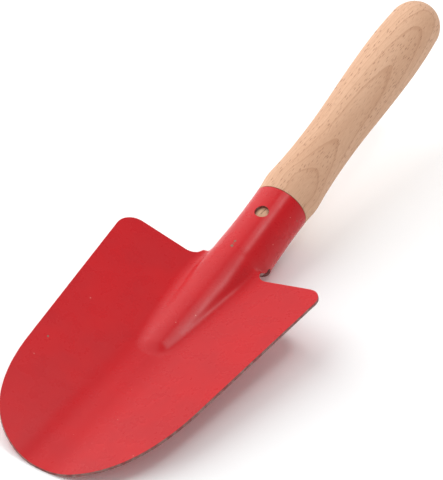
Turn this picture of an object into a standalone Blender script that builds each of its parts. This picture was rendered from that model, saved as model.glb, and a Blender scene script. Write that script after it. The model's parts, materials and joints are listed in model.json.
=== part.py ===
"""Hand trowel: a pressed steel blade rolled into a socket at its neck, on a turned beech handle.

The shape is drawn in the blade's own frame. X runs across the blade, Y runs along it towards the
handle and Z points out of its hollow side. The blade's floor is z = 0 and the line through its two
shoulder corners is y = 0. At the end everything is set down as it lies on a table, on the heel of
the socket and the tip of the blade, with the origin under the middle of its bounding box.
"""
import math

import bmesh
import bpy
import numpy as np
from mathutils import Matrix, Vector

# --- sheet -----------------------------------------------------------------------------------
SHEET = 0.0010                       # thickness of the steel
GAP = 0.0003                         # clearance kept between pieces that touch

# --- blade outline ---------------------------------------------------------------------------
SHOULDER_HALF_WIDTH = 0.0428         # half the width at the shoulder corners
SHOULDER_SLOPE = 0.035               # the shoulders rise towards the neck by this much per metre
CORNER_RADIUS = 0.0066
SIDE_END = Vector((0.0351, -0.0725))  # where the straight tapered side ends
TIP_Y = -0.1149
SIDE_HANDLE = 0.0270                 # lengths of the Bezier handles that round the tip
TIP_HANDLE = 0.0210
DISH_RISE = 0.0110                   # how far the shoulder corners stand above the floor
FLAT_STRIP = 0.0020                  # half the width of the flat strip down the middle
VALLEY = 0.0110                      # distance from the centre line where the wings turn straight

# --- socket ----------------------------------------------------------------------------------
CRANK = math.radians(11.75)          # slope of the socket and handle against the blade's floor
MOUTH = Vector((0.0, 0.0401, 0.0030))  # centre of the socket's mouth
SOCKET_RADIUS = 0.01075              # outer radius where the socket is narrowest
SOCKET_WAIST = -0.009                # station of that place, along the axis from the mouth
SOCKET_FLARE = 1.5                   # growth of the radius with the square of the distance from it
SEAM_HALF_ANGLE = math.radians(8.0)  # the open seam at the back
FLANGE_RISE = 0.0010                 # how far their lower edge climbs on its way round to the seam
SEAM_CORNER_RADIUS = 0.0025
THROAT_RADIUS = 0.0018               # rounds the neck's free edge into the flanges' lower edge
NOTCH_ANGLE = math.radians(88.0)     # where the neck's free edge meets the socket
NOTCH_END = -0.0285                  # station of that place
HOLE_STATION = -0.01205
HOLE_RADIUS = 0.0027

# --- rib -------------------------------------------------------------------------------------
NECK_Y = 0.0044                      # the rib turns into the neck here
RIB_END_Y = -0.0504
RIB_RUN_OUT = 0.005                  # length over which the crest's slope builds up from the rib's end
NOSE_RISE = 0.0014                   # the rib starts with a blunt nose this high
NOSE_LENGTH = 0.0060
# station y, half-width of the rib's footprint, share of it taken by the rounded crest
RIB_KEYS = (
    (-0.0504, 0.0062, 0.50),
    (-0.0440, 0.0084, 0.52),
    (-0.0300, 0.0116, 0.54),
    (-0.0160, 0.0136, 0.56),
    (-0.0070, 0.0144, 0.60),
    (NECK_Y, 0.0140, 0.64),
)
NECK_FILLET_RADIUS = 0.0050          # plan radius where a shoulder turns up into the neck
NECK_EDGE_X = 0.0123

# --- handle ----------------------------------------------------------------------------------
# station along the axis from the socket's mouth, radius
HANDLE_KEYS = (
    (0.0003, 0.01085),
    (0.0030, 0.01100),
    (0.0082, 0.01140),
    (0.0165, 0.01076),
    (0.0260, 0.01030),
    (0.0390, 0.01013),
    (0.0515, 0.01043),
    (0.0660, 0.01105),
    (0.0840, 0.01146),
    (0.0960, 0.01122),
    (0.1058, 0.01059),
)
DOME_CENTRE = 0.10485
DOME_LENGTH = 0.01155
DOME_RADIUS = 0.01063
BUTT_RADIUS = 0.0025                 # flat left on the end of the handle
TENON_END = -0.0225
TENON_CHAMFER = 0.0012

# --- retaining nail --------------------------------------------------------------------------
NAIL_STATION = -0.0105
NAIL_ANGLE = math.radians(152.0)     # beside the seam, at the back
NAIL_SHANK_RADIUS = 0.0009
NAIL_HEAD_RADIUS = 0.0023
NAIL_HEAD_HEIGHT = 0.0009
NAIL_LENGTH = 0.0085

# --- rest pose and mesh ----------------------------------------------------------------------
REST_PITCH = math.radians(5.07)       # tips the blade down until its tip and the heel both touch
COLUMNS = 12                         # across half the blade
BLADE_ROWS = 40
NECK_ROWS = 7
SOCKET_ROWS = (2, 5, 4)              # above, beside and below the hole
SOCKET_COLUMNS = (5, 7)              # beside the centre line as wide as the hole, and the rest
FLANGE_COLUMNS = 22
HANDLE_SIDES = 36


def smooth(t):
    """A step from 0 to 1 that starts and ends level."""
    t = min(max(t, 0.0), 1.0)
    return t * t * (3 - 2 * t)


def hermite(t, start, end, start_slope, end_slope):
    """A cubic from start to end over t = 0 to 1, with the slopes given per unit of t."""
    t2, t3 = t * t, t * t * t
    value = (2 * t3 - 3 * t2 + 1) * start + (3 * t2 - 2 * t3) * end
    return value + (t3 - 2 * t2 + t) * start_slope + (t3 - t2) * end_slope


def through(keys, at, column=1):
    """A smooth curve through one column of a table whose first column is the station."""
    stations = [key[0] for key in keys]
    values = [key[column] for key in keys]
    at = min(max(at, stations[0]), stations[-1])
    i = max(0, min(len(keys) - 2, sum(station <= at for station in stations) - 1))
    slopes = []
    for k in (i, i + 1):
        low, high = max(k - 1, 0), min(k + 1, len(keys) - 1)
        slopes.append((values[high] - values[low]) / (stations[high] - stations[low]))
    step = stations[i + 1] - stations[i]
    return hermite((at - stations[i]) / step, values[i], values[i + 1], slopes[0] * step, slopes[1] * step)


def resample(points, count):
    """count + 1 points at even spacing along a polyline."""
    points = np.array(points)
    lengths = np.concatenate([[0], np.cumsum(np.linalg.norm(np.diff(points, axis=0), axis=1))])
    even = np.linspace(0, lengths[-1], count + 1)
    return np.stack([np.interp(even, lengths, points[:, k]) for k in range(points.shape[1])], axis=1)


def arc(centre, radius, start, end, steps):
    """Points on a circle in the plane, from one angle to another."""
    angles = np.linspace(start, end, steps + 1)
    return [(centre[0] + radius * math.cos(a), centre[1] + radius * math.sin(a)) for a in angles]


# --- the formed surface: socket, neck, rib and dish --------------------------------------------

AXIS = Vector((0.0, math.cos(CRANK), math.sin(CRANK)))
FRONT = Vector((0.0, -math.sin(CRANK), math.cos(CRANK)))
ACROSS = Vector((1.0, 0.0, 0.0))
WING_SLOPE = DISH_RISE / (SHOULDER_HALF_WIDTH - (VALLEY + FLAT_STRIP) / 2)


def socket_radius(station):
    return SOCKET_RADIUS + SOCKET_FLARE * (station - SOCKET_WAIST) ** 2


def socket_point(angle, station, radius=None):
    """A point on the socket's outside; the angle is measured round the axis from the front."""
    radius = socket_radius(station) if radius is None else radius
    return MOUTH + AXIS * station + (ACROSS * math.sin(angle) + FRONT * math.cos(angle)) * radius


def dish_height(x):
    """Level down the middle, then a round valley that runs out into straight wings."""
    out, round_end = max(abs(x) - FLAT_STRIP, 0.0), VALLEY - FLAT_STRIP
    if out < round_end:
        return WING_SLOPE * out * out / (2 * round_end)
    return WING_SLOPE * (out - round_end / 2)


NOTCH_CREST = socket_point(0.0, NOTCH_END)
NOTCH_RADIUS = socket_radius(NOTCH_END)
RIB_SLOPE = (NOTCH_CREST.z - NOSE_RISE) / (NOTCH_CREST.y - RIB_END_Y - RIB_RUN_OUT / 2)


def crest_height(y):
    """Height of the rib's crest above the floor: a blunt nose, then a straight slope."""
    run = max(y - RIB_END_Y, 0.0)
    nose = NOSE_RISE * smooth(run / NOSE_LENGTH)
    if run < RIB_RUN_OUT:
        return nose + RIB_SLOPE * run * run / (2 * RIB_RUN_OUT)
    return nose + RIB_SLOPE * (run - RIB_RUN_OUT / 2)


def rib_section(height, width, share):
    """Radii of the crest and of the fillet at its foot, and the angle where they meet."""
    angle = 2 * math.atan(height / width)
    both = width / math.sin(angle)
    return both * share, both * (1 - share), angle


def rib_drop(x, height, width, share):
    """How far the rib's surface lies above its foot at a distance x from the centre line."""
    if height < 1e-7 or x >= width:
        return 0.0
    crest, fillet, angle = rib_section(height, width, share)
    if x <= crest * math.sin(angle):
        return height - crest + math.sqrt(crest * crest - x * x)
    return fillet - math.sqrt(max(fillet * fillet - (width - x) ** 2, 0.0))


def blade_point(x, y):
    width, share = through(RIB_KEYS, y), through(RIB_KEYS, y, 2)
    return Vector((x, y, dish_height(x) + rib_drop(abs(x), crest_height(y), width, share)))


def neck_point(rise, fraction):
    """A point on the neck. rise runs from the blade (0) to the notch (1), fraction from the
    centre line (0) to the free edge (1)."""
    ease = smooth(rise)
    length = NOTCH_CREST.y - NECK_Y
    crest_y = NECK_Y + rise * length
    top_slope = (AXIS.z / AXIS.y + 2 * SOCKET_FLARE * (NOTCH_END - SOCKET_WAIST)) * length
    crest_z = hermite(rise, crest_height(NECK_Y), NOTCH_CREST.z, RIB_SLOPE * length, top_slope)
    depth = crest_height(NECK_Y) + ease * (NOTCH_RADIUS - crest_height(NECK_Y))
    width = RIB_KEYS[-1][1] + ease * (NOTCH_RADIUS - RIB_KEYS[-1][1])
    share = RIB_KEYS[-1][2] + ease * (1 - RIB_KEYS[-1][2])
    crest, fillet, angle = rib_section(depth, width, share)
    tilt = ease * CRANK
    edge_x = neck_edge(crest_y + depth * math.sin(tilt))
    edge_x += ease * (NOTCH_RADIUS * math.sin(NOTCH_ANGLE) - NECK_EDGE_X)
    crest_arc, fillet_arc = crest * angle, fillet * angle
    edge_arc = crest_arc + fillet_arc + edge_x - width
    if rise == 1:
        edge_arc = NOTCH_RADIUS * NOTCH_ANGLE
    along = fraction * edge_arc
    if along <= crest_arc:
        x, drop = crest * math.sin(along / crest), crest * (1 - math.cos(along / crest))
    else:
        left = max(crest_arc + fillet_arc - along, 0.0) / max(fillet, 1e-9)
        beyond = max(along - crest_arc - fillet_arc, 0.0)
        x = width - fillet * math.sin(left) + beyond
        drop = depth - fillet * (1 - math.cos(left))
    drop -= dish_height(x) * (1 - ease)
    return Vector((x, crest_y + drop * math.sin(tilt), crest_z - drop * math.cos(tilt)))


# --- the outline of the blank --------------------------------------------------------------------

def shoulder_y(x):
    return SHOULDER_SLOPE * (SHOULDER_HALF_WIDTH - x)


FILLET_CENTRE = Vector((
    NECK_EDGE_X + NECK_FILLET_RADIUS,
    shoulder_y(NECK_EDGE_X + NECK_FILLET_RADIUS) + NECK_FILLET_RADIUS,
))


def neck_edge(y):
    """Distance of the free edge from the centre line between a shoulder and the notch."""
    below = max(FILLET_CENTRE.y - y, 0.0)
    return FILLET_CENTRE.x - math.sqrt(NECK_FILLET_RADIUS ** 2 - below ** 2)


def corner_points(corner, before, after, radius, steps):
    """The arc that rounds a corner between two directions that leave it."""
    before, after = before.normalized(), after.normalized()
    half = before.angle(after) / 2
    centre = corner + (before + after).normalized() * radius / math.sin(half)
    start = corner + before * radius / math.tan(half) - centre
    turn = before.angle(after) - math.pi
    return [centre + Matrix.Rotation(turn * k / steps, 2) @ start for k in range(steps + 1)]


def blade_outline():
    """Right-hand outline in plan, from the neck round the corner and down to the tip."""
    end_angle = math.asin((NECK_Y - FILLET_CENTRE.y) / NECK_FILLET_RADIUS)
    points = arc(FILLET_CENTRE, NECK_FILLET_RADIUS, math.pi - end_angle, 1.5 * math.pi, 6)
    corner = Vector((SHOULDER_HALF_WIDTH, 0.0))
    inward = Vector((-1.0, SHOULDER_SLOPE))
    down = SIDE_END - corner
    points += [tuple(p) for p in corner_points(corner, inward, down, CORNER_RADIUS, 10)]
    controls = (
        SIDE_END,
        SIDE_END + down.normalized() * SIDE_HANDLE,
        Vector((TIP_HANDLE, TIP_Y)),
        Vector((0.0, TIP_Y)),
    )
    for k in range(41):
        t = k / 40
        weights = ((1 - t) ** 3, 3 * t * (1 - t) ** 2, 3 * t * t * (1 - t), t ** 3)
        points.append(tuple(sum((w * c for w, c in zip(weights, controls)), Vector((0.0, 0.0)))))
    return points


def flange_edge():
    """Lower edge of a flange as (angle, station): round the throat, then across to the seam."""
    seam = math.pi - SEAM_HALF_ANGLE
    small, large = THROAT_RADIUS, SEAM_CORNER_RADIUS
    points = []
    for k in range(7):
        a = math.pi * (1 - k / 12)
        points.append((NOTCH_ANGLE + small * (1 + math.cos(a)) / NOTCH_RADIUS,
                       NOTCH_END + small * math.sin(a)))
    for k in range(7):
        a = math.pi * (1.5 + k / 12)
        points.append((seam - large * (1 - math.cos(a)) / NOTCH_RADIUS,
                       NOTCH_END + small + FLANGE_RISE + large * (1 + math.sin(a))))
    return points


# --- the sheet's mesh, right half -------------------------------------------------------------------

def add_grid(mesh, rows):
    """Quads over rows of points, with the outside facing +Z on a flat blank."""
    verts = [[mesh.verts.new(p) for p in row] for row in rows]
    for upper, lower in zip(verts, verts[1:]):
        for k in range(len(upper) - 1):
            mesh.faces.new((upper[k], lower[k], lower[k + 1], upper[k + 1]))


def add_blade(mesh):
    """Rows fan out from the centre line to the outline, from the neck to the tip."""
    outline = resample(blade_outline(), BLADE_ROWS)
    spine = [NECK_Y - (NECK_Y - TIP_Y) * 0.9 * (i / BLADE_ROWS) ** 1.15 for i in range(BLADE_ROWS + 1)]
    first = [neck_point(0.0, j / COLUMNS).x / outline[0][0] for j in range(COLUMNS + 1)]
    rows = []
    for i, (edge, start) in enumerate(zip(outline, spine)):
        blend = smooth(4 * i / BLADE_ROWS)
        row = []
        for j in range(COLUMNS + 1):
            f = (1 - blend) * first[j] + blend * (j / COLUMNS) ** 1.35
            row.append(blade_point(edge[0] * f, start + (edge[1] - start) * f))
        rows.append(row)
    add_grid(mesh, rows)


def add_neck(mesh):
    rises = [1 - i / NECK_ROWS for i in range(NECK_ROWS + 1)]
    add_grid(mesh, [[neck_point(rise, j / COLUMNS) for j in range(COLUMNS + 1)] for rise in rises])


def add_socket_front(mesh):
    """The front of the socket as a grid with a round hole on the centre line."""
    inner, outer = SOCKET_COLUMNS
    above, beside, below = SOCKET_ROWS
    side = NOTCH_ANGLE * inner / COLUMNS
    reach = HOLE_RADIUS * 2.0
    stations = list(np.linspace(0.0, HOLE_STATION + reach, above + 1))
    low = HOLE_STATION - reach
    next_stations = list(np.linspace(HOLE_STATION + reach, low, beside + 1))
    last_stations = list(np.linspace(low, NOTCH_END, below + 1))
    angles = [NOTCH_ANGLE * j / COLUMNS for j in range(COLUMNS + 1)]
    add_grid(mesh, [[socket_point(a, s) for a in angles] for s in stations])
    add_grid(mesh, [[socket_point(a, s) for a in angles[inner:]] for s in next_stations])
    add_grid(mesh, [[socket_point(a, s) for a in angles] for s in last_stations])
    border = [(a, stations[-1]) for a in angles[:inner + 1]]
    border += [(side, s) for s in next_stations[1:-1]]
    border += [(a, low) for a in reversed(angles[:inner + 1])]
    rings = []
    for a, s in border:
        turn = math.atan2(a * SOCKET_RADIUS, s - HOLE_STATION)
        x, y = HOLE_RADIUS * math.sin(turn), HOLE_RADIUS * math.cos(turn)
        hole = Vector((math.asin(x / SOCKET_RADIUS), HOLE_STATION + y))
        rim = Vector((a, s))
        rings.append([socket_point(*rim.lerp(hole, k / 3)) for k in range(4)])
    add_grid(mesh, [list(ring) for ring in zip(*rings)])


def add_flange(mesh):
    """From the side of the socket round to the seam, down to its lower edge."""
    rows = sum(SOCKET_ROWS)
    start, seam = NOTCH_ANGLE, math.pi - SEAM_HALF_ANGLE
    bottom = resample([(a * NOTCH_RADIUS, s) for a, s in flange_edge()], FLANGE_COLUMNS)
    bottom = [(a / NOTCH_RADIUS, s) for a, s in bottom]
    above, beside, below = SOCKET_ROWS
    reach = HOLE_RADIUS * 2.0
    left = list(np.linspace(0.0, HOLE_STATION + reach, above + 1))
    left += list(np.linspace(HOLE_STATION + reach, HOLE_STATION - reach, beside + 1))[1:]
    left += list(np.linspace(HOLE_STATION - reach, NOTCH_END, below + 1))[1:]
    grid = []
    for i in range(rows + 1):
        down = left[i] / NOTCH_END
        row = []
        for j in range(FLANGE_COLUMNS + 1):
            across = j / FLANGE_COLUMNS
            top = start + (seam - start) * across
            angle = top + (bottom[j][0] - top) * down
            row.append(socket_point(angle, bottom[j][1] * down))
        grid.append(row)
    add_grid(mesh, grid)


def blade_and_socket():
    mesh = bmesh.new()
    for add in (add_socket_front, add_flange, add_neck, add_blade):
        add(mesh)
    bmesh.ops.remove_doubles(mesh, verts=mesh.verts, dist=1e-6)
    sheet = new_object("blade_and_socket", mesh)
    mirror = sheet.modifiers.new("other half", "MIRROR")
    mirror.merge_threshold = 1e-6
    solid = sheet.modifiers.new("sheet", "SOLIDIFY")
    solid.thickness = SHEET
    solid.offset = -1
    solid.use_even_offset = False
    return sheet


# --- turned pieces ----------------------------------------------------------------------------------

def new_object(name, mesh):
    data = bpy.data.meshes.new(name)
    mesh.to_mesh(data)
    mesh.free()
    piece = bpy.data.objects.new(name, data)
    bpy.context.collection.objects.link(piece)
    return piece


def turned(name, profile, place, sides):
    """A closed solid of revolution. The profile runs from one end of its axis to the other as
    (radius, station), with flat ends, and place carries +Z onto the axis."""
    mesh = bmesh.new()
    rings = []
    for radius, station in profile:
        turns = [2 * math.pi * k / sides for k in range(sides)]
        points = [place @ Vector((radius * math.cos(t), radius * math.sin(t), station)) for t in turns]
        rings.append([mesh.verts.new(p) for p in points])
    for low, high in zip(rings, rings[1:]):
        for k in range(sides):
            n = (k + 1) % sides
            mesh.faces.new((low[k], low[n], high[n], high[k]))
    mesh.faces.new(list(reversed(rings[0])))
    mesh.faces.new(rings[-1])
    return new_object(name, mesh)


def frame_at(origin, direction):
    """A matrix that carries the origin and +Z onto a point and a direction."""
    return Matrix.Translation(origin) @ direction.to_track_quat("Z", "Y").to_matrix().to_4x4()


def handle_profile():
    """Tenon, shoulder at the socket's mouth, swelling, waist, palm swell, dome and flat butt."""
    tenon = SOCKET_RADIUS - SHEET - GAP
    profile = [(tenon - TENON_CHAMFER, TENON_END), (tenon, TENON_END + TENON_CHAMFER), (tenon, GAP)]
    first, last = HANDLE_KEYS[0][0], HANDLE_KEYS[-1][0]
    for station in np.linspace(first, last, 24):
        profile.append((through(HANDLE_KEYS, station), station))
    start = math.asin((last - DOME_CENTRE) / DOME_LENGTH)
    end = math.acos(BUTT_RADIUS / DOME_RADIUS)
    for a in np.linspace(start, end, 9)[1:]:
        profile.append((DOME_RADIUS * math.cos(a), DOME_CENTRE + DOME_LENGTH * math.sin(a)))
    return profile


def handle():
    return turned("handle", handle_profile(), frame_at(MOUTH, AXIS), HANDLE_SIDES)


def nail_frame():
    """Origin on the socket's outside under the nail's head, +Z pointing into the handle."""
    surface = socket_point(NAIL_ANGLE, NAIL_STATION)
    centre = MOUTH + AXIS * NAIL_STATION
    return frame_at(surface, (centre - surface).normalized())


def retaining_nail():
    head, shank = NAIL_HEAD_RADIUS, NAIL_SHANK_RADIUS
    underside = -GAP
    profile = [(head * 0.45, underside - NAIL_HEAD_HEIGHT)]
    profile += [(head * 0.8, underside - NAIL_HEAD_HEIGHT * 0.8), (head, underside - NAIL_HEAD_HEIGHT * 0.35)]
    profile += [(head, underside), (shank, underside)]
    profile += [(shank, NAIL_LENGTH - 2.5 * shank), (shank * 0.2, NAIL_LENGTH)]
    return turned("retaining_nail", profile, nail_frame(), 16)


def drill_for_nail(pieces):
    """The nail's clearance hole through one flange and into the tenon."""
    radius, end = NAIL_SHANK_RADIUS + GAP, NAIL_LENGTH + GAP
    drill = turned("nail_drill", [(radius, -2 * SHEET), (radius, end)], nail_frame(), 16)
    drill.hide_render = True
    drill.display_type = "WIRE"
    for piece in pieces:
        cut = piece.modifiers.new("nail hole", "BOOLEAN")
        cut.operation = "DIFFERENCE"
        cut.solver = "EXACT"
        cut.object = drill
    return drill


# --- finish and assembly ------------------------------------------------------------------------------

def finish(piece, colour, roughness, metallic):
    material = bpy.data.materials.new(piece.name)
    material.use_nodes = True
    shader = material.node_tree.nodes["Principled BSDF"]
    shader.inputs["Base Color"].default_value = (*colour, 1.0)
    shader.inputs["Roughness"].default_value = roughness
    shader.inputs["Metallic"].default_value = metallic
    piece.data.materials.append(material)
    piece.data.shade_smooth()
    piece.data.set_sharp_from_angle(angle=math.radians(40))


def set_down(pieces):
    """Lay the trowel on z = 0, with the origin under the middle of its bounding box."""
    ground = bpy.data.objects.new("trowel", None)
    bpy.context.collection.objects.link(ground)
    for piece in pieces:
        piece.parent = ground
    tip_down = Matrix.Rotation(REST_PITCH, 4, "X")
    bpy.context.view_layer.update()
    graph = bpy.context.evaluated_depsgraph_get()
    points = []
    for piece in pieces:
        solid = piece.evaluated_get(graph).to_mesh()
        points += [tip_down @ vertex.co for vertex in solid.vertices]
    points = np.array(points)
    low, high = points.min(axis=0), points.max(axis=0)
    ground.rotation_euler.x = REST_PITCH
    ground.location = (-(low[0] + high[0]) / 2, -(low[1] + high[1]) / 2, -low[2])


def main():
    for old in list(bpy.data.objects):
        bpy.data.objects.remove(old, do_unlink=True)
    sheet, wood, nail = blade_and_socket(), handle(), retaining_nail()
    drill = drill_for_nail((sheet, wood))
    finish(sheet, (0.55, 0.02, 0.025), 0.38, 0.0)
    finish(wood, (0.58, 0.36, 0.22), 0.7, 0.0)
    finish(nail, (0.45, 0.45, 0.44), 0.35, 1.0)
    set_down((sheet, wood, nail, drill))


main()
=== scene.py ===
"""Looks of the hand trowel: red powder-coated blade and socket, bare beech handle, steel nail.

Every shape is drawn in the blade's own frame, as the CAD model is, and in metres. X runs across the
blade, Y runs along it towards the handle, Z points out of its hollow side, the blade's floor is
z = 0 and the line through its two shoulder corners is y = 0. The record's blade_back mount says
where that frame lies.
"""
import json
import math

import bmesh
import bpy
import numpy as np
from mathutils import Matrix, Vector


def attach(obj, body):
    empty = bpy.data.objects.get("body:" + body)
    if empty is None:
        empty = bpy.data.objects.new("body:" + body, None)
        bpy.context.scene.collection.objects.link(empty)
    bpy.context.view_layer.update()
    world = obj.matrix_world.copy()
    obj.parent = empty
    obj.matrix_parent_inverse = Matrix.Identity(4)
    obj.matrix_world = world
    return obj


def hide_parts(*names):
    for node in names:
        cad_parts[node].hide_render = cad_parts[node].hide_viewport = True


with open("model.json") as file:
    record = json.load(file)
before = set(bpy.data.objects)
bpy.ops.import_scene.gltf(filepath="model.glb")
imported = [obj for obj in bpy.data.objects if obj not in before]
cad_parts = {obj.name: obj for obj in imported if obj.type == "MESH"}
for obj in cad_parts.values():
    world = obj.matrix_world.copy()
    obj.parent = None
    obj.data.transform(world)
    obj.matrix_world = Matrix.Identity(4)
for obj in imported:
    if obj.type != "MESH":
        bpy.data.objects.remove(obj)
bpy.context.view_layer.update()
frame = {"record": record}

# --- where the blade's frame lies ----------------------------------------------------------------
BACK_MOUNT = Vector((0.0006, -0.0800, -0.0010))   # the blade_back mount in the blade's own frame
mounts = {mount["name"]: mount for mount in frame["record"]["mounts"]}
back_axis = Vector(mounts["blade_back"]["axis"])
PITCH = math.atan2(back_axis.y, -back_axis.z)
TURN = Matrix.Rotation(PITCH, 4, "X")
LAY = Matrix.Translation(Vector(mounts["blade_back"]["pos_m"]) - TURN @ BACK_MOUNT) @ TURN

# --- sheet ---------------------------------------------------------------------------------------
SHEET = 0.0010                       # thickness of the steel
GAP = 0.0003                         # clearance kept between pieces that touch
EDGE_ROUND = 0.00022                 # the coat rounds every cut edge by this much

# --- blade outline -------------------------------------------------------------------------------
SHOULDER_HALF_WIDTH = 0.0428         # half the width at the shoulder corners
SHOULDER_SLOPE = 0.035               # the shoulders rise towards the neck by this much per metre
CORNER_RADIUS = 0.0066
SIDE_END = Vector((0.0351, -0.0725))  # where the straight tapered side ends
TIP_Y = -0.1149
SIDE_HANDLE = 0.0270                 # lengths of the Bezier handles that round the tip
TIP_HANDLE = 0.0210
DISH_RISE = 0.0110                   # how far the shoulder corners stand above the floor
FLAT_STRIP = 0.0020                  # half the width of the flat strip down the middle
VALLEY = 0.0110                      # distance from the centre line where the wings turn straight

# --- socket --------------------------------------------------------------------------------------
CRANK = math.radians(11.75)          # slope of the socket and handle against the blade's floor
MOUTH = Vector((0.0, 0.0401, 0.0030))  # centre of the socket's mouth
SOCKET_RADIUS = 0.01075              # outer radius where the socket is narrowest
SOCKET_WAIST = -0.009                # station of that place, along the axis from the mouth
SOCKET_FLARE = 1.5                   # growth of the radius with the square of the distance from it
SEAM_HALF_ANGLE = math.radians(8.0)  # the open seam at the back
FLANGE_RISE = 0.0010                 # how far a flange's lower edge climbs on its way to the seam
SEAM_CORNER_RADIUS = 0.0025
THROAT_RADIUS = 0.0018               # rounds the neck's free edge into the flanges' lower edge
NOTCH_ANGLE = math.radians(88.0)     # where the neck's free edge meets the socket
NOTCH_END = -0.0285                  # station of that place
HOLE_STATION = -0.01205
HOLE_RADIUS = 0.0027
HOLE_SURROUND = 2 * HOLE_RADIUS      # half the length of the patch of mesh round the hole

# --- rib -----------------------------------------------------------------------------------------
NECK_Y = 0.0044                      # the rib turns into the neck here
RIB_END_Y = -0.0504
RIB_RUN_OUT = 0.005                  # the crest's slope builds up over this length
NOSE_RISE = 0.0014                   # the rib starts with a blunt nose this high
NOSE_LENGTH = 0.0060
# station y, half-width of the rib's footprint, share of it taken by the rounded crest
RIB_KEYS = (
    (-0.0504, 0.0062, 0.50),
    (-0.0440, 0.0084, 0.52),
    (-0.0300, 0.0116, 0.54),
    (-0.0160, 0.0136, 0.56),
    (-0.0070, 0.0144, 0.60),
    (NECK_Y, 0.0140, 0.64),
)
NECK_FILLET_RADIUS = 0.0050          # plan radius where a shoulder turns up into the neck
NECK_EDGE_X = 0.0123

# --- handle --------------------------------------------------------------------------------------
# station along the axis from the socket's mouth, radius
HANDLE_KEYS = (
    (0.0003, 0.01085),
    (0.0030, 0.01100),
    (0.0082, 0.01140),
    (0.0165, 0.01076),
    (0.0260, 0.01030),
    (0.0390, 0.01013),
    (0.0515, 0.01043),
    (0.0660, 0.01105),
    (0.0840, 0.01146),
    (0.0960, 0.01122),
    (0.1058, 0.01059),
)
DOME_CENTRE = 0.10485
DOME_LENGTH = 0.01155
DOME_RADIUS = 0.01063
BUTT_RADIUS = 0.0025                 # flat left on the end of the handle
TENON_END = -0.0225
TENON_CHAMFER = 0.0012

# --- retaining nail ------------------------------------------------------------------------------
NAIL_STATION = -0.0105
NAIL_ANGLE = math.radians(152.0)     # beside the seam, at the back
NAIL_SHANK_RADIUS = 0.0009
NAIL_HEAD_RADIUS = 0.0023
NAIL_HEAD_HEIGHT = 0.0009
NAIL_LENGTH = 0.0085
NAIL_POINT_LENGTH = 2.5 * NAIL_SHANK_RADIUS
NAIL_POINT_RADIUS = 0.2 * NAIL_SHANK_RADIUS
NAIL_CROWN_ANGLE = 0.12              # the domed head has a small flat inside this angle

# --- mesh ----------------------------------------------------------------------------------------
COLUMNS = 44                         # from the centre line to the edge
BLADE_ROWS = 150
SPINE_SHARE = 0.9                    # share of the centre line that the blade's rows start from
SPINE_POWER = 1.15                   # above 1, rows crowd towards the neck
COLUMN_POWER = 1.35                  # above 1, columns crowd towards the centre line
NECK_SHARE = 0.25                    # the neck's column spacing gives way over this share of the rows
NECK_ROWS = 26
SOCKET_ROWS = (8, 18, 14)            # above the hole's surround, beside it and below it
HOLE_COLUMNS = 18                    # columns that the hole's surround takes up
HOLE_RINGS = 9
FLANGE_COLUMNS = 60
FILLET_STEPS = 24
CORNER_STEPS = 32
SIDE_STEPS = 160
THROAT_STEPS = 16
SEAM_CORNER_STEPS = 18
HANDLE_SIDES = 120
HANDLE_ROWS = 120
TENON_ROWS = 30
DOME_ROWS = 33
NAIL_SIDES = 48
CROWN_ROWS = 12
MERGE = 1e-6                         # points closer than this are one
CREASE = math.radians(50)            # edges of the sheet that are sharper than this are rounded
SHARP = math.radians(40)             # a turned piece is shaded smooth up to this angle

# --- camera, in the blade's frame ----------------------------------------------------------------
CAMERA_AZIMUTH = math.radians(32.22)
CAMERA_ELEVATION = math.radians(41.35)
CAMERA_DISTANCE = 0.781
CAMERA_AIM = Vector((-0.0051, 0.0063, 0.0091))
CAMERA_ROLL = math.radians(-0.18)
CAMERA_LENS = 160.1

# --- light ---------------------------------------------------------------------------------------
# name, azimuth from +Y towards +X and elevation in degrees, distance, size, power
LIGHTS = (
    ("key", -95.0, 47.0, 1.3, (1.6, 1.6), 15.0),
    ("strip", 42.0, 67.0, 1.2, (0.28, 0.20), 2.5),
    ("small_strip", 8.0, 75.0, 1.2, (0.24, 0.16), 1.0),
)
LIGHT_TARGET = Vector((0.0, 0.0, 0.01))
WALL_STRENGTH = 1.25
CEILING_STRENGTH = 0.36
RIGHT_WALL_SHARE = 0.7               # how bright the wall on the right is beside the others
FLOOR_HALF_WIDTH = 3.0
FLOOR_WHITE = (0.96, 0.96, 0.96)
FLOOR_ROUGHNESS = 0.9

# --- directions of the socket and slope of the wings ---------------------------------------------
AXIS = Vector((0.0, math.cos(CRANK), math.sin(CRANK)))
FRONT = Vector((0.0, -math.sin(CRANK), math.cos(CRANK)))
ACROSS = Vector((1.0, 0.0, 0.0))
WING_SLOPE = DISH_RISE / (SHOULDER_HALF_WIDTH - (VALLEY + FLAT_STRIP) / 2)


def smooth(t):
    """A step from 0 to 1 that starts and ends level."""
    t = min(max(t, 0.0), 1.0)
    return t * t * (3 - 2 * t)


def hermite(t, start, end, start_slope, end_slope):
    """A cubic from start to end over t = 0 to 1, with the slopes given per unit of t."""
    t2, t3 = t * t, t * t * t
    value = (2 * t3 - 3 * t2 + 1) * start + (3 * t2 - 2 * t3) * end
    return value + (t3 - 2 * t2 + t) * start_slope + (t3 - t2) * end_slope


def through(keys, at, column=1):
    """A smooth curve through one column of a table whose first column is the station."""
    stations = [key[0] for key in keys]
    values = [key[column] for key in keys]
    at = min(max(at, stations[0]), stations[-1])
    i = max(0, min(len(keys) - 2, sum(station <= at for station in stations) - 1))
    slopes = []
    for k in (i, i + 1):
        low, high = max(k - 1, 0), min(k + 1, len(keys) - 1)
        slopes.append((values[high] - values[low]) / (stations[high] - stations[low]))
    step = stations[i + 1] - stations[i]
    t = (at - stations[i]) / step
    return hermite(t, values[i], values[i + 1], slopes[0] * step, slopes[1] * step)


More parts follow.
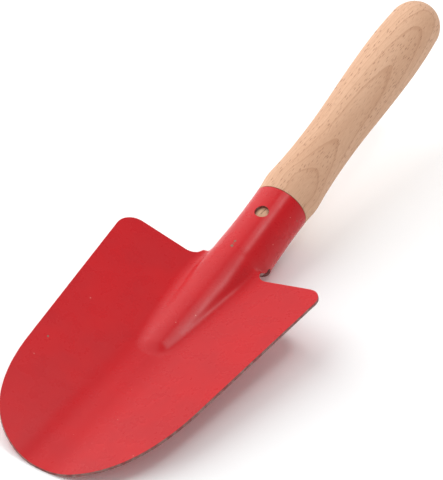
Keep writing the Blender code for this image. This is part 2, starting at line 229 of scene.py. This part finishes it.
def resample(points, count):
    """count + 1 points at even spacing along a polyline."""
    points = np.array(points)
    lengths = np.concatenate([[0], np.cumsum(np.linalg.norm(np.diff(points, axis=0), axis=1))])
    even = np.linspace(0, lengths[-1], count + 1)
    return np.stack([np.interp(even, lengths, column) for column in points.T], axis=1)


def arc(centre, radius, start, end, steps):
    """Points on a circle in the plane, from one angle to another."""
    angles = np.linspace(start, end, steps + 1)
    return [(centre[0] + radius * math.cos(a), centre[1] + radius * math.sin(a)) for a in angles]


# --- the formed surface: socket, neck, rib and dish ----------------------------------------------

def socket_radius(station):
    """The socket is narrowest at its waist and flares a little both ways."""
    return SOCKET_RADIUS + SOCKET_FLARE * (station - SOCKET_WAIST) ** 2


def socket_point(angle, station, radius=None):
    """A point on the socket's outside; the angle is measured round the axis from the front."""
    radius = socket_radius(station) if radius is None else radius
    return MOUTH + AXIS * station + (ACROSS * math.sin(angle) + FRONT * math.cos(angle)) * radius


def dish_height(x):
    """Level down the middle, then a round valley that runs out into straight wings."""
    out, round_end = max(abs(x) - FLAT_STRIP, 0.0), VALLEY - FLAT_STRIP
    if out < round_end:
        return WING_SLOPE * out * out / (2 * round_end)
    return WING_SLOPE * (out - round_end / 2)


NOTCH_CREST = socket_point(0.0, NOTCH_END)
NOTCH_RADIUS = socket_radius(NOTCH_END)
RIB_SLOPE = (NOTCH_CREST.z - NOSE_RISE) / (NOTCH_CREST.y - RIB_END_Y - RIB_RUN_OUT / 2)


def crest_height(y):
    """Height of the rib's crest above the floor: a blunt nose, then a straight slope."""
    run = max(y - RIB_END_Y, 0.0)
    nose = NOSE_RISE * smooth(run / NOSE_LENGTH)
    if run < RIB_RUN_OUT:
        return nose + RIB_SLOPE * run * run / (2 * RIB_RUN_OUT)
    return nose + RIB_SLOPE * (run - RIB_RUN_OUT / 2)


def rib_section(height, width, share):
    """Radii of the crest and of the fillet at its foot, and the angle where they meet."""
    angle = 2 * math.atan(height / width)
    both = width / math.sin(angle)
    return both * share, both * (1 - share), angle


def rib_drop(x, height, width, share):
    """How far the rib's surface lies above its foot at a distance x from the centre line."""
    if height < 1e-7 or x >= width:
        return 0.0
    crest, fillet, angle = rib_section(height, width, share)
    if x <= crest * math.sin(angle):
        return height - crest + math.sqrt(crest * crest - x * x)
    return fillet - math.sqrt(max(fillet * fillet - (width - x) ** 2, 0.0))


def blade_point(x, y):
    """A point on the dish with its rib."""
    width, share = through(RIB_KEYS, y), through(RIB_KEYS, y, 2)
    return Vector((x, y, dish_height(x) + rib_drop(abs(x), crest_height(y), width, share)))


def neck_point(rise, fraction):
    """A point on the neck. rise runs from the blade (0) to the notch (1), fraction from the
    centre line (0) to the free edge (1)."""
    ease = smooth(rise)
    length = NOTCH_CREST.y - NECK_Y
    crest_y = NECK_Y + rise * length
    top_slope = (AXIS.z / AXIS.y + 2 * SOCKET_FLARE * (NOTCH_END - SOCKET_WAIST)) * length
    crest_z = hermite(rise, crest_height(NECK_Y), NOTCH_CREST.z, RIB_SLOPE * length, top_slope)
    depth = crest_height(NECK_Y) + ease * (NOTCH_RADIUS - crest_height(NECK_Y))
    width = RIB_KEYS[-1][1] + ease * (NOTCH_RADIUS - RIB_KEYS[-1][1])
    share = RIB_KEYS[-1][2] + ease * (1 - RIB_KEYS[-1][2])
    crest, fillet, angle = rib_section(depth, width, share)
    tilt = ease * CRANK
    edge_x = neck_edge(crest_y + depth * math.sin(tilt))
    edge_x += ease * (NOTCH_RADIUS * math.sin(NOTCH_ANGLE) - NECK_EDGE_X)
    crest_arc, fillet_arc = crest * angle, fillet * angle
    edge_arc = crest_arc + fillet_arc + edge_x - width
    if rise == 1:
        edge_arc = NOTCH_RADIUS * NOTCH_ANGLE
    along = fraction * edge_arc
    if along <= crest_arc:
        x, drop = crest * math.sin(along / crest), crest * (1 - math.cos(along / crest))
    else:
        left = max(crest_arc + fillet_arc - along, 0.0) / max(fillet, 1e-9)
        beyond = max(along - crest_arc - fillet_arc, 0.0)
        x = width - fillet * math.sin(left) + beyond
        drop = depth - fillet * (1 - math.cos(left))
    drop -= dish_height(x) * (1 - ease)
    return Vector((x, crest_y + drop * math.sin(tilt), crest_z - drop * math.cos(tilt)))


# --- the outline of the blank --------------------------------------------------------------------

def shoulder_y(x):
    return SHOULDER_SLOPE * (SHOULDER_HALF_WIDTH - x)


FILLET_CENTRE = Vector((
    NECK_EDGE_X + NECK_FILLET_RADIUS,
    shoulder_y(NECK_EDGE_X + NECK_FILLET_RADIUS) + NECK_FILLET_RADIUS,
))


def neck_edge(y):
    """Distance of the free edge from the centre line between a shoulder and the notch."""
    below = max(FILLET_CENTRE.y - y, 0.0)
    return FILLET_CENTRE.x - math.sqrt(NECK_FILLET_RADIUS ** 2 - below ** 2)


def corner_points(corner, before, after, radius, steps):
    """The arc that rounds a corner between two directions that leave it."""
    before, after = before.normalized(), after.normalized()
    half = before.angle(after) / 2
    centre = corner + (before + after).normalized() * radius / math.sin(half)
    start = corner + before * radius / math.tan(half) - centre
    turn = before.angle(after) - math.pi
    return [centre + Matrix.Rotation(turn * k / steps, 2) @ start for k in range(steps + 1)]


def blade_outline():
    """Right-hand outline in plan, from the neck round the corner and down to the tip."""
    end_angle = math.asin((NECK_Y - FILLET_CENTRE.y) / NECK_FILLET_RADIUS)
    start_angle = math.pi - end_angle
    points = arc(FILLET_CENTRE, NECK_FILLET_RADIUS, start_angle, 1.5 * math.pi, FILLET_STEPS)
    corner = Vector((SHOULDER_HALF_WIDTH, 0.0))
    inward = Vector((-1.0, SHOULDER_SLOPE))
    down = SIDE_END - corner
    rounded = corner_points(corner, inward, down, CORNER_RADIUS, CORNER_STEPS)
    points += [tuple(p) for p in rounded]
    controls = (
        SIDE_END,
        SIDE_END + down.normalized() * SIDE_HANDLE,
        Vector((TIP_HANDLE, TIP_Y)),
        Vector((0.0, TIP_Y)),
    )
    for k in range(SIDE_STEPS + 1):
        t = k / SIDE_STEPS
        weights = ((1 - t) ** 3, 3 * t * (1 - t) ** 2, 3 * t * t * (1 - t), t ** 3)
        points.append(tuple(sum((w * c for w, c in zip(weights, controls)), Vector((0.0, 0.0)))))
    return points


def flange_edge():
    """Lower edge of a flange as (angle, station): round the throat, then across to the seam."""
    seam = math.pi - SEAM_HALF_ANGLE
    small, large = THROAT_RADIUS, SEAM_CORNER_RADIUS
    throat = (small, NOTCH_END)
    corner = (-large, NOTCH_END + small + FLANGE_RISE + large)
    points = []
    for across, station in arc(throat, small, math.pi, 0.5 * math.pi, THROAT_STEPS):
        points.append((NOTCH_ANGLE + across / NOTCH_RADIUS, station))
    for across, station in arc(corner, large, 1.5 * math.pi, 2 * math.pi, SEAM_CORNER_STEPS):
        points.append((seam + across / NOTCH_RADIUS, station))
    return points


# --- the sheet's mesh, right half ----------------------------------------------------------------

def add_grid(mesh, rows):
    """Quads over rows of points, with the outside facing +Z on a flat blank."""
    verts = [[mesh.verts.new(p) for p in row] for row in rows]
    for upper, lower in zip(verts, verts[1:]):
        for k in range(len(upper) - 1):
            mesh.faces.new((upper[k], lower[k], lower[k + 1], upper[k + 1]))


def add_blade(mesh):
    """Rows fan out from the centre line to the outline, from the neck to the tip."""
    outline = resample(blade_outline(), BLADE_ROWS)
    reach = (NECK_Y - TIP_Y) * SPINE_SHARE
    spine = [NECK_Y - reach * (i / BLADE_ROWS) ** SPINE_POWER for i in range(BLADE_ROWS + 1)]
    first = [neck_point(0.0, j / COLUMNS).x / outline[0][0] for j in range(COLUMNS + 1)]
    rows = []
    for i, (edge, start) in enumerate(zip(outline, spine)):
        blend = smooth(i / (NECK_SHARE * BLADE_ROWS))
        row = []
        for j in range(COLUMNS + 1):
            f = (1 - blend) * first[j] + blend * (j / COLUMNS) ** COLUMN_POWER
            row.append(blade_point(edge[0] * f, start + (edge[1] - start) * f))
        rows.append(row)
    add_grid(mesh, rows)


def add_neck(mesh):
    """Rows across the neck, from the socket down to the blade."""
    rises = [1 - i / NECK_ROWS for i in range(NECK_ROWS + 1)]
    add_grid(mesh, [[neck_point(rise, j / COLUMNS) for j in range(COLUMNS + 1)] for rise in rises])


def socket_stations():
    """Rows above the hole's surround, beside it and below it."""
    above, beside, below = SOCKET_ROWS
    high, low = HOLE_STATION + HOLE_SURROUND, HOLE_STATION - HOLE_SURROUND
    spans = ((0.0, high, above), (high, low, beside), (low, NOTCH_END, below))
    return [np.linspace(start, end, rows + 1) for start, end, rows in spans]


def add_socket_front(mesh):
    """The front of the socket as a grid with a round hole on the centre line."""
    above, beside, below = socket_stations()
    angles = [NOTCH_ANGLE * j / COLUMNS for j in range(COLUMNS + 1)]
    inner, outer = angles[:HOLE_COLUMNS + 1], angles[HOLE_COLUMNS:]
    for stations, across in ((above, angles), (beside, outer), (below, angles)):
        add_grid(mesh, [[socket_point(a, s) for a in across] for s in stations])
    border = [(a, above[-1]) for a in inner]
    border += [(outer[0], s) for s in beside[1:-1]]
    border += [(a, below[0]) for a in reversed(inner)]
    rings = []
    for a, s in border:
        turn = math.atan2(a * SOCKET_RADIUS, s - HOLE_STATION)
        x, y = HOLE_RADIUS * math.sin(turn), HOLE_RADIUS * math.cos(turn)
        hole = Vector((math.asin(x / SOCKET_RADIUS), HOLE_STATION + y))
        rim = Vector((a, s))
        steps = [rim.lerp(hole, k / HOLE_RINGS) for k in range(HOLE_RINGS + 1)]
        rings.append([socket_point(*step) for step in steps])
    add_grid(mesh, [list(ring) for ring in zip(*rings)])


def add_flange(mesh):
    """From the side of the socket round to the seam, down to its lower edge."""
    start, seam = NOTCH_ANGLE, math.pi - SEAM_HALF_ANGLE
    bottom = resample([(a * NOTCH_RADIUS, s) for a, s in flange_edge()], FLANGE_COLUMNS)
    bottom = [(a / NOTCH_RADIUS, s) for a, s in bottom]
    above, beside, below = socket_stations()
    grid = []
    for station in [*above, *beside[1:], *below[1:]]:
        down = station / NOTCH_END
        row = []
        for j in range(FLANGE_COLUMNS + 1):
            top = start + (seam - start) * j / FLANGE_COLUMNS
            row.append(socket_point(top + (bottom[j][0] - top) * down, bottom[j][1] * down))
        grid.append(row)
    add_grid(mesh, grid)


def new_object(name, mesh):
    """A piece whose mesh lies in the row frame, with its object at the origin."""
    bmesh.ops.transform(mesh, matrix=LAY, verts=mesh.verts)
    data = bpy.data.meshes.new(name)
    mesh.to_mesh(data)
    mesh.free()
    data.shade_smooth()
    piece = bpy.data.objects.new(name, data)
    bpy.context.scene.collection.objects.link(piece)
    return piece


def blade_and_socket():
    """The right half of the sheet's outside, mirrored, given its thickness and rounded edges."""
    mesh = bmesh.new()
    for add in (add_socket_front, add_flange, add_neck, add_blade):
        add(mesh)
    bmesh.ops.remove_doubles(mesh, verts=mesh.verts, dist=MERGE)
    sheet = new_object("coated_blade_and_socket", mesh)
    mirror = sheet.modifiers.new("other half", "MIRROR")
    mirror.merge_threshold = MERGE
    solid = sheet.modifiers.new("sheet", "SOLIDIFY")
    solid.thickness = SHEET
    solid.offset = -1
    solid.use_even_offset = False
    solid.material_offset_rim = 1
    edge = sheet.modifiers.new("rounded edges", "BEVEL")
    edge.limit_method = "ANGLE"
    edge.angle_limit = CREASE
    edge.width = EDGE_ROUND
    edge.segments = 3
    edge.harden_normals = True
    return sheet


# --- turned pieces -------------------------------------------------------------------------------

def turned(name, profile, place, sides):
    """A closed solid of revolution. The profile runs from one end of its axis to the other as
    (radius, station), with flat ends, and place carries +Z onto the axis."""
    mesh = bmesh.new()
    rings = []
    for radius, station in profile:
        turns = [2 * math.pi * k / sides for k in range(sides)]
        points = [Vector((radius * math.cos(t), radius * math.sin(t), station)) for t in turns]
        rings.append([mesh.verts.new(place @ p) for p in points])
    for low, high in zip(rings, rings[1:]):
        for k in range(sides):
            n = (k + 1) % sides
            mesh.faces.new((low[k], low[n], high[n], high[k]))
    mesh.faces.new(list(reversed(rings[0])))
    mesh.faces.new(rings[-1])
    piece = new_object(name, mesh)
    piece.data.set_sharp_from_angle(angle=SHARP)
    return piece


def frame_at(origin, direction):
    """A matrix that carries the origin and +Z onto a point and a direction."""
    return Matrix.Translation(origin) @ direction.to_track_quat("Z", "Y").to_matrix().to_4x4()


def handle_profile():
    """Tenon, shoulder at the socket's mouth, swelling, waist, palm swell, dome and flat butt."""
    tenon = SOCKET_RADIUS - SHEET - GAP
    profile = [(tenon - TENON_CHAMFER, TENON_END)]
    for station in np.linspace(TENON_END + TENON_CHAMFER, GAP, TENON_ROWS):
        profile.append((tenon, station))
    first, last = HANDLE_KEYS[0][0], HANDLE_KEYS[-1][0]
    for station in np.linspace(first, last, HANDLE_ROWS):
        profile.append((through(HANDLE_KEYS, station), station))
    start = math.asin((last - DOME_CENTRE) / DOME_LENGTH)
    end = math.acos(BUTT_RADIUS / DOME_RADIUS)
    for a in np.linspace(start, end, DOME_ROWS)[1:]:
        profile.append((DOME_RADIUS * math.cos(a), DOME_CENTRE + DOME_LENGTH * math.sin(a)))
    return profile


def handle():
    """The handle with its tenon, on the socket's axis."""
    return turned("beech_handle", handle_profile(), frame_at(MOUTH, AXIS), HANDLE_SIDES)


def nail_frame():
    """Origin on the socket's outside under the nail's head, +Z pointing into the handle."""
    surface = socket_point(NAIL_ANGLE, NAIL_STATION)
    centre = MOUTH + AXIS * NAIL_STATION
    return frame_at(surface, (centre - surface).normalized())


def retaining_nail():
    """Domed head, then the shank and its point."""
    head, shank = NAIL_HEAD_RADIUS, NAIL_SHANK_RADIUS
    profile = []
    for a in np.linspace(NAIL_CROWN_ANGLE, math.pi / 2, CROWN_ROWS):
        profile.append((head * math.sin(a), -GAP - NAIL_HEAD_HEIGHT * math.cos(a)))
    profile += [(head, -GAP), (shank, -GAP)]
    profile += [(shank, NAIL_LENGTH - NAIL_POINT_LENGTH), (NAIL_POINT_RADIUS, NAIL_LENGTH)]
    return turned("bright_nail", profile, nail_frame(), NAIL_SIDES)


# --- node helpers; every length in them is in metres ---------------------------------------------

def new_material(name):
    """A material, its node tree and its shader."""
    material = bpy.data.materials.new(name)
    material.use_nodes = True
    return material, material.node_tree, material.node_tree.nodes["Principled BSDF"]


def add_node(tree, kind, inputs=(), **settings):
    """A node whose inputs are either linked from a socket or set to a value."""
    made = tree.nodes.new(kind)
    for key, value in settings.items():
        setattr(made, key, value)
    for key, value in dict(inputs).items():
        if isinstance(value, bpy.types.NodeSocket):
            tree.links.new(value, made.inputs[key])
        else:
            made.inputs[key].default_value = value
    return made


def object_point(tree):
    """The shading point in the row frame, since every piece lies at the origin."""
    return tree.nodes.new("ShaderNodeTexCoord").outputs["Object"]


def placed(tree, vector, matrix):
    """A vector carried by a rigid matrix."""
    inputs = {"Vector": vector, "Location": matrix.to_translation(), "Rotation": matrix.to_euler()}
    return add_node(tree, "ShaderNodeMapping", inputs).outputs[0]


def stretched(tree, vector, scale):
    """A vector scaled along its axes, so that a pattern of scale 1 has this many cells a metre."""
    return add_node(tree, "ShaderNodeMapping", {"Vector": vector, "Scale": scale}).outputs[0]


def noise(tree, vector, scale, detail=2.0, roughness=0.5):
    inputs = {"Vector": vector, "Scale": scale, "Detail": detail, "Roughness": roughness}
    return add_node(tree, "ShaderNodeTexNoise", inputs).outputs["Fac"]


def ramp(tree, value, low, high, start=0.0, end=1.0):
    """A value between low and high eased over to a range from start to end."""
    inputs = {"Value": value, "From Min": low, "From Max": high, "To Min": start, "To Max": end}
    return add_node(tree, "ShaderNodeMapRange", inputs, interpolation_type="SMOOTHSTEP").outputs[0]


def calculate(tree, operation, *values):
    return add_node(tree, "ShaderNodeMath", enumerate(values), operation=operation).outputs[0]


def blended(tree, factor, first, second):
    """One colour mixed into another by a socket; a colour is a socket or three numbers."""
    made = tree.nodes.new("ShaderNodeMix")
    made.data_type = "RGBA"
    for slot, value in ((0, factor), (6, first), (7, second)):
        if isinstance(value, bpy.types.NodeSocket):
            tree.links.new(value, made.inputs[slot])
        else:
            made.inputs[slot].default_value = (*value, 1.0)
    return made.outputs[2]


def cell_pattern(tree, vector, scale):
    """Distance to the nearest cell's middle, and a number from 0 to 1 that differs by cell."""
    cells = add_node(tree, "ShaderNodeTexVoronoi", {"Vector": vector, "Scale": scale})
    split = add_node(tree, "ShaderNodeSeparateColor", {"Color": cells.outputs["Color"]})
    return cells.outputs["Distance"], split.outputs[0]


def sparse_dots(tree, point, scale, radius, share):
    """Small round dots in a share of the cells of a pattern."""
    away, pick = cell_pattern(tree, point, scale)
    dot = ramp(tree, away, radius * 0.6, radius, 1.0, 0.0)
    return calculate(tree, "MULTIPLY", dot, calculate(tree, "LESS_THAN", pick, share))


def around(tree, point, spots, ragged):
    """Distance to the nearest of a few spots of different sizes, 1 at their edges."""
    nearest = None
    for spot, size in spots:
        away = {0: point, 1: LAY @ Vector(spot)}
        reach = add_node(tree, "ShaderNodeVectorMath", away, operation="DISTANCE").outputs["Value"]
        reach = calculate(tree, "DIVIDE", reach, size)
        nearest = reach if nearest is None else calculate(tree, "MINIMUM", nearest, reach)
    return calculate(tree, "ADD", nearest, ragged)


def finish_material(tree, shader, colour, roughness, bumps):
    """Feed the shader. Each bump is a height from 0 to 1 and its depth."""
    tree.links.new(colour, shader.inputs["Base Color"])
    tree.links.new(roughness, shader.inputs["Roughness"])
    below = {}
    for height, depth in bumps:
        inputs = {"Height": height, "Distance": depth, "Strength": 1.0, **below}
        below = {"Normal": add_node(tree, "ShaderNodeBump", inputs).outputs[0]}
    tree.links.new(below["Normal"], shader.inputs["Normal"])


# --- red powder coat -----------------------------------------------------------------------------
COAT_REDS = ((0.530, 0.0080, 0.0125), (0.485, 0.0100, 0.0150))
SPECK_RED = (0.560, 0.034, 0.034)
DUST_PINK = (0.80, 0.30, 0.26)
CHIP_BROWN = (0.235, 0.150, 0.105)
COAT_SPECULAR = 0.19
COAT_ROUGHNESS = (0.26, 0.30)
CHIP_ROUGHNESS = 0.3                 # added to the coat's
SAG_DEPTH = 0.00005
PEEL_DEPTH = 0.0000025
CHIP_DEPTH = 0.00008
# middle of each chip in the blade's frame, and its size
CHIPS = (
    ((-0.0012, 0.0094, 0.0081), 0.00042),
    ((-0.0011, 0.0083, 0.0080), 0.00026),
    ((-0.0010, 0.0069, 0.0078), 0.00058),
    ((0.0104, 0.0346, 0.0049), 0.00022),
    ((0.0113, 0.0108, 0.0010), 0.00036),
    ((-0.0302, -0.0676, 0.0072), 0.00034),
)


def red_coat():
    """Satin powder coat: slightly uneven, faintly specked, with pale dust and a few chips."""
    material, tree, shader = new_material("red_coat")
    shader.inputs["Specular IOR Level"].default_value = COAT_SPECULAR
    point = object_point(tree)
    cloud = ramp(tree, noise(tree, point, 55.0, 3.0), 0.3, 0.7)
    speck = ramp(tree, noise(tree, point, 2600.0), 0.35, 0.75, 0.0, 0.16)
    colour = blended(tree, speck, blended(tree, cloud, *COAT_REDS), SPECK_RED)
    dust = sparse_dots(tree, point, 230.0, 0.055, 0.30)
    dusty = ramp(tree, noise(tree, point, 70.0), 0.42, 0.6)
    colour = blended(tree, calculate(tree, "MULTIPLY", dust, dusty), colour, DUST_PINK)
    ragged = ramp(tree, noise(tree, point, 2400.0, 3.0), 0.0, 1.0, -0.75, 0.75)
    chip = ramp(tree, around(tree, point, CHIPS, ragged), 0.85, 1.1, 1.0, 0.0)
    colour = blended(tree, chip, colour, CHIP_BROWN)
    worn = ramp(tree, noise(tree, point, 160.0, 4.0, 0.6), 0.3, 0.7, *COAT_ROUGHNESS)
    bare = calculate(tree, "MULTIPLY", chip, CHIP_ROUGHNESS)
    sag, peel = noise(tree, point, 75.0, 1.0), noise(tree, point, 700.0, 1.0)
    whole = calculate(tree, "SUBTRACT", 1.0, chip)
    bumps = ((sag, SAG_DEPTH), (peel, PEEL_DEPTH), (whole, CHIP_DEPTH))
    finish_material(tree, shader, colour, calculate(tree, "ADD", worn, bare), bumps)
    return material


# --- cut edge ------------------------------------------------------------------------------------
# both edge colours are partly painted shade, kept dark so the cut edges in the notch read as shadowed
EDGE_COATED_AND_SHADED = (0.190, 0.030, 0.028)
EDGE_BARE_AND_SHADED = (0.240, 0.130, 0.110)
EDGE_DEPTH = 0.00002


def cut_edge():
    """The blank's cut edge: thin coat, steel showing through in patches, both darkened as painted
    shade.
    """
    material, tree, shader = new_material("cut_edge")
    point = object_point(tree)
    patch = ramp(tree, noise(tree, point, 420.0, 4.0, 0.6), 0.38, 0.66)
    shade = ramp(tree, noise(tree, point, 3000.0), 0.3, 0.7, 0.75, 1.15)
    inputs = {0: blended(tree, patch, EDGE_COATED_AND_SHADED, EDGE_BARE_AND_SHADED), "Scale": shade}
    colour = add_node(tree, "ShaderNodeVectorMath", inputs, operation="SCALE").outputs[0]
    roughness = ramp(tree, patch, 0.0, 1.0, 0.55, 0.38)
    bumps = ((noise(tree, point, 1800.0, 3.0), EDGE_DEPTH),)
    finish_material(tree, shader, colour, roughness, bumps)
    return material


# --- beech: growth rings, fibres along the axis, ray flecks and a check in the tenon -------------
BEECH_TONES = ((0.680, 0.425, 0.280), (0.620, 0.370, 0.235))
LATE_WOOD = (0.420, 0.205, 0.110)
FIBRE_BROWN = (0.470, 0.245, 0.145)
FLECK_BROWN = (0.270, 0.110, 0.055)
CRACK_BROWN = (0.050, 0.022, 0.012)
BEECH_SPECULAR = 0.25
BEECH_ROUGHNESS = (0.56, 0.70)
RING_TURN = math.radians(39.0)       # the board's face looks this far round the axis from the front
RING_TILT = 0.074                    # angle between the rings and the axis
RING_SPACING = 0.0019
# cells a metre across the rings, along them and along the axis
TONE_CELLS = (260.0, 90.0, 14.0)
FIBRE_CELLS = (3200.0, 3200.0, 210.0)
FLECK_CELLS = (260.0, 2900.0, 280.0)
FIBRE_DEPTH = 0.000035
FLECK_DEPTH = 0.00002
CRACK_X, CRACK_STATION = 0.00005, -0.0108        # its middle, seen through the socket's hole
CRACK_LEAN = 0.17
CRACK_HALF_WIDTH = 0.0002
CRACK_HALF_LENGTH = 0.0020
CRACK_WOBBLE = 0.00012
CRACK_FRONT = -0.008                 # only on the side of the tenon that faces the hole
# +X across, +Y away from the front and +Z along the axis
WOOD_FRAME = Matrix.Translation(MOUTH) @ Matrix((ACROSS, -FRONT, AXIS)).transposed().to_4x4()


def growth_rings(tree, ringed):
    """How dark the late wood is: a sharp line at the end of each year's gradual darkening."""
    inputs = {
        "Vector": ringed,
        "Scale": math.pi / (10 * RING_SPACING),
        "Distortion": 3.0,
        "Detail": 2.0,
        "Detail Scale": 0.16,
        "Detail Roughness": 0.55,
    }
    settings = {"bands_direction": "X", "wave_profile": "SAW"}
    year = add_node(tree, "ShaderNodeTexWave", inputs, **settings).outputs["Fac"]
    line, gradual = ramp(tree, year, 0.78, 0.96, 0.0, 0.8), ramp(tree, year, 0.1, 0.9, 0.0, 0.2)
    return calculate(tree, "MULTIPLY", calculate(tree, "ADD", line, gradual), 0.40)


def ray_flecks(tree, ringed):
    """Short dark dashes along the axis, some fainter than others."""
    away, pick = cell_pattern(tree, stretched(tree, ringed, FLECK_CELLS), 1.0)
    dash = ramp(tree, away, 0.10, 0.34, 1.0, 0.0)
    return calculate(tree, "MULTIPLY", dash, ramp(tree, pick, 0.0, 0.8))


def tenon_crack(tree, wood):
    """A thin leaning check in the front of the tenon."""
    x, y, station = add_node(tree, "ShaderNodeSeparateXYZ", {"Vector": wood}).outputs
    up = calculate(tree, "SUBTRACT", station, CRACK_STATION)
    lean = calculate(tree, "MULTIPLY", up, -CRACK_LEAN)
    across = calculate(tree, "SUBTRACT", calculate(tree, "ADD", x, lean), CRACK_X)
    wobble = ramp(tree, noise(tree, wood, 900.0), 0.0, 1.0, -CRACK_WOBBLE, CRACK_WOBBLE)
    aside = calculate(tree, "ADD", calculate(tree, "ABSOLUTE", across), wobble)
    width, length = CRACK_HALF_WIDTH, CRACK_HALF_LENGTH
    inside = ramp(tree, aside, 0.4 * width, width, 1.0, 0.0)
    within = ramp(tree, calculate(tree, "ABSOLUTE", up), 0.7 * length, length, 1.0, 0.0)
    crack = calculate(tree, "MULTIPLY", inside, within)
    return calculate(tree, "MULTIPLY", crack, calculate(tree, "LESS_THAN", y, CRACK_FRONT))


def beech():
    """Sanded bare beech."""
    material, tree, shader = new_material("beech")
    shader.inputs["Specular IOR Level"].default_value = BEECH_SPECULAR
    point = object_point(tree)
    to_wood = (LAY @ WOOD_FRAME).inverted()
    to_board = Matrix.Rotation(-RING_TURN - math.pi / 2, 4, "Z")
    wood = placed(tree, point, to_wood)
    ringed = placed(tree, point, Matrix.Rotation(RING_TILT, 4, "Y") @ to_board @ to_wood)
    tone = ramp(tree, noise(tree, stretched(tree, ringed, TONE_CELLS), 1.0, 3.0), 0.3, 0.7)
    colour = blended(tree, tone, *BEECH_TONES)
    colour = blended(tree, growth_rings(tree, ringed), colour, LATE_WOOD)
    fibre = noise(tree, stretched(tree, ringed, FIBRE_CELLS), 1.0, 3.0, 0.65)
    colour = blended(tree, ramp(tree, fibre, 0.30, 0.72, 0.0, 0.30), colour, FIBRE_BROWN)
    fleck = ray_flecks(tree, ringed)
    colour = blended(tree, calculate(tree, "MULTIPLY", fleck, 0.9), colour, FLECK_BROWN)
    crack = calculate(tree, "MULTIPLY", tenon_crack(tree, wood), 0.85)
    colour = blended(tree, crack, colour, CRACK_BROWN)
    roughness = ramp(tree, fibre, 0.3, 0.7, *BEECH_ROUGHNESS)
    raised = calculate(tree, "SUBTRACT", 1.0, fleck)
    bumps = ((fibre, FIBRE_DEPTH), (raised, FLECK_DEPTH))
    finish_material(tree, shader, colour, roughness, bumps)
    return material


# --- nail ----------------------------------------------------------------------------------------
NAIL_BRIGHT = (0.52, 0.52, 0.51)
NAIL_DULL = (0.34, 0.31, 0.28)
NAIL_ROUGHNESS = (0.26, 0.46)
SCRATCH_CELLS = (900.0, 9000.0, 2500.0)
SCRATCH_DEPTH = 0.000012


def nail_steel():
    """Drawn steel with fine scratches and a few dull patches."""
    material, tree, shader = new_material("nail_steel")
    shader.inputs["Metallic"].default_value = 1.0
    point = object_point(tree)
    scratches = noise(tree, stretched(tree, point, SCRATCH_CELLS), 1.0, 3.0)
    dull = ramp(tree, noise(tree, point, 900.0, 3.0), 0.45, 0.65)
    colour = blended(tree, dull, NAIL_BRIGHT, NAIL_DULL)
    roughness = ramp(tree, scratches, 0.3, 0.7, *NAIL_ROUGHNESS)
    finish_material(tree, shader, colour, roughness, ((scratches, SCRATCH_DEPTH),))
    return material


# --- camera, floor and light ---------------------------------------------------------------------

def add_camera():
    """A camera that looks at its aim point from a distance, rolled a little."""
    a, e = CAMERA_AZIMUTH, CAMERA_ELEVATION
    back = Vector((math.sin(a) * math.cos(e), -math.cos(a) * math.cos(e), math.sin(e)))
    right = Vector((math.cos(a), math.sin(a), 0.0))
    up = back.cross(right)
    tilted = up * math.cos(CAMERA_ROLL) - right * math.sin(CAMERA_ROLL)
    place = back * CAMERA_DISTANCE
    back = (place - CAMERA_AIM).normalized()
    right = tilted.cross(back).normalized()
    up = back.cross(right)
    turn = Matrix((right, up, back)).transposed().to_4x4()
    data = bpy.data.cameras.new("camera")
    data.lens = CAMERA_LENS
    data.clip_start, data.clip_end = 0.05, 20.0
    camera = bpy.data.objects.new("camera", data)
    camera.matrix_world = LAY @ Matrix.Translation(place) @ turn
    bpy.context.scene.collection.objects.link(camera)
    bpy.context.scene.camera = camera


def add_floor():
    mesh = bmesh.new()
    bmesh.ops.create_grid(mesh, x_segments=1, y_segments=1, size=FLOOR_HALF_WIDTH)
    data = bpy.data.meshes.new("floor")
    mesh.to_mesh(data)
    mesh.free()
    floor = bpy.data.objects.new("floor", data)
    bpy.context.scene.collection.objects.link(floor)
    material, _, shader = new_material("floor_paper")
    shader.inputs["Base Color"].default_value = (*FLOOR_WHITE, 1.0)
    shader.inputs["Roughness"].default_value = FLOOR_ROUGHNESS
    floor.data.materials.append(material)


def add_light(name, azimuth, elevation, distance, size, power):
    """A soft rectangular light that faces the trowel."""
    data = bpy.data.lights.new(name, "AREA")
    data.shape = "RECTANGLE"
    data.size, data.size_y = size
    data.energy = power
    light = bpy.data.objects.new(name, data)
    a, e = math.radians(azimuth), math.radians(elevation)
    level = math.cos(e)
    light.location = Vector((math.sin(a) * level, math.cos(a) * level, math.sin(e))) * distance
    light.rotation_mode = "QUATERNION"
    light.rotation_quaternion = (LIGHT_TARGET - light.location).to_track_quat("-Z", "Y")
    bpy.context.scene.collection.objects.link(light)


def add_world():
    """White walls that fade to a darker ceiling, and to a darker side on the right."""
    world = bpy.data.worlds.new("studio")
    world.use_nodes = True
    tree = world.node_tree
    ground = tree.nodes["Background"]
    ground.inputs["Color"].default_value = (1.0, 1.0, 1.0, 1.0)
    direction = tree.nodes.new("ShaderNodeTexCoord").outputs["Generated"]
    split = add_node(tree, "ShaderNodeSeparateXYZ", {"Vector": direction}).outputs
    upward = ramp(tree, split[2], 0.10, 0.90, WALL_STRENGTH, CEILING_STRENGTH)
    sideways = ramp(tree, split[0], 0.0, 0.9, 1.0, RIGHT_WALL_SHARE)
    tree.links.new(calculate(tree, "MULTIPLY", upward, sideways), ground.inputs["Strength"])
    bpy.context.scene.world = world


def main():
    bpy.context.scene.view_settings.view_transform = "Standard"
    sheet, wood, nail = blade_and_socket(), handle(), retaining_nail()
    for piece, node, slot, materials in (
        (sheet, "blade_and_socket", "red_coated_steel", (red_coat(), cut_edge())),
        (wood, "handle", "beech", (beech(),)),
        (nail, "retaining_nail", "nail_steel", (nail_steel(),)),
    ):
        for material in materials:
            piece.data.materials.append(material)
        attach(piece, "root")
        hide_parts(node)
    add_camera()
    add_floor()
    for light in LIGHTS:
        add_light(*light)
    add_world()


main()
